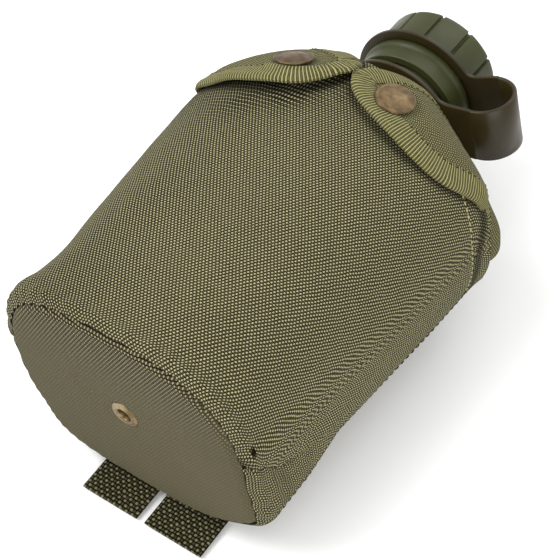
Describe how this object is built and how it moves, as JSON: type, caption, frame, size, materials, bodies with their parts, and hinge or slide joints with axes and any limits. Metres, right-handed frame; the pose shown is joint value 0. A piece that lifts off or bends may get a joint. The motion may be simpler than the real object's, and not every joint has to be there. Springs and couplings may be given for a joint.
{
  "type": "belt canteen",
  "caption": "Plastic belt canteen with a ribbed screw cap on a keeper strap, in a woven cover with two snapped shoulder flaps and webbing straps at the back.",
  "frame": {"origin": "on the surface it lies on, below the middle of the canteen's box", "axes": "lying on its back: +Y along the neck towards the cap, +Z out of the front, +X to the right as seen from the front"},
  "size_m": [0.1406, 0.2215, 0.102],
  "materials": {
    "cover_cloth": "woven nylon",
    "flap_binding": "ribbed binding",
    "pile_lining": "pile",
    "webbing": "coarse webbing",
    "bottle_plastic": "matte",
    "cap_plastic": "satin",
    "strap_plastic": "satin",
    "liner_rubber": "matte",
    "snap_brass": "antique satin"
  },
  "bodies": {
    "canteen": {"cover_front_panel": "cover_cloth", "cover_back_panel": "cover_cloth", "cover_bottom_panel": "cover_cloth", "left_shoulder_panel": "cover_cloth", "right_shoulder_panel": "cover_cloth", "cover_lining": "pile_lining", "bottle_body": "bottle_plastic", "strap_neck_ring": "strap_plastic", "flap_snap_studs": "snap_brass", "flap_snap_posts": "snap_brass", "drain_grommet": "snap_brass", "drain_washer": "snap_brass", "tail_snap_sockets": "snap_brass", "tail_snap_posts": "snap_brass", "webbing_rows": "webbing", "left_strap": "webbing", "right_strap": "webbing"},
    "strap_ring": {"strap_cap_ring": "strap_plastic"},
    "cap": {"cap_shell": "cap_plastic", "cap_liner": "liner_rubber"},
    "left_flap": {"left_flap": "cover_cloth", "left_flap_binding": "flap_binding", "left_snap_cap": "snap_brass", "left_snap_socket": "snap_brass"},
    "right_flap": {"right_flap": "cover_cloth", "right_flap_binding": "flap_binding", "right_snap_cap": "snap_brass", "right_snap_socket": "snap_brass"},
    "left_tail": {"left_strap_tail": "webbing", "left_tail_stud": "snap_brass"},
    "right_tail": {"right_strap_tail": "webbing", "right_tail_stud": "snap_brass"}
  },
  "joints": [
    {"name": "cap_lift", "type": "slide", "parent": "canteen", "child": "strap_ring", "axis": [0, 1, 0], "range_m": [0, 0.0101]},
    {"name": "cap_turn", "type": "hinge", "parent": "strap_ring", "child": "cap", "pos_m": [0, 0.09925, 0.0484], "axis": [0, 1, 0], "range_deg": [0, 720]},
    {"name": "left_flap_open", "type": "hinge", "parent": "canteen", "child": "left_flap", "pos_m": [-0.07096, 0.03275, 0.0678], "axis": [-0.7403, -0.668, -0.076], "range_deg": [0, 80]},
    {"name": "right_flap_open", "type": "hinge", "parent": "canteen", "child": "right_flap", "pos_m": [0.07096, 0.03275, 0.0678], "axis": [-0.7403, 0.668, 0.076], "range_deg": [0, 80]},
    {"name": "left_tail_swing", "type": "hinge", "parent": "canteen", "child": "left_tail", "pos_m": [-0.01905, -0.06175, 0.0026], "axis": [1, 0, 0], "range_deg": [0, 90]},
    {"name": "right_tail_swing", "type": "hinge", "parent": "canteen", "child": "right_tail", "pos_m": [0.01905, -0.06175, 0.0026], "axis": [1, 0, 0], "range_deg": [0, 90]}
  ],
  "couplings": [
    {"joint": "cap_lift", "follows": "cap_turn", "m_per_rad": 0.00079577}
  ]
}
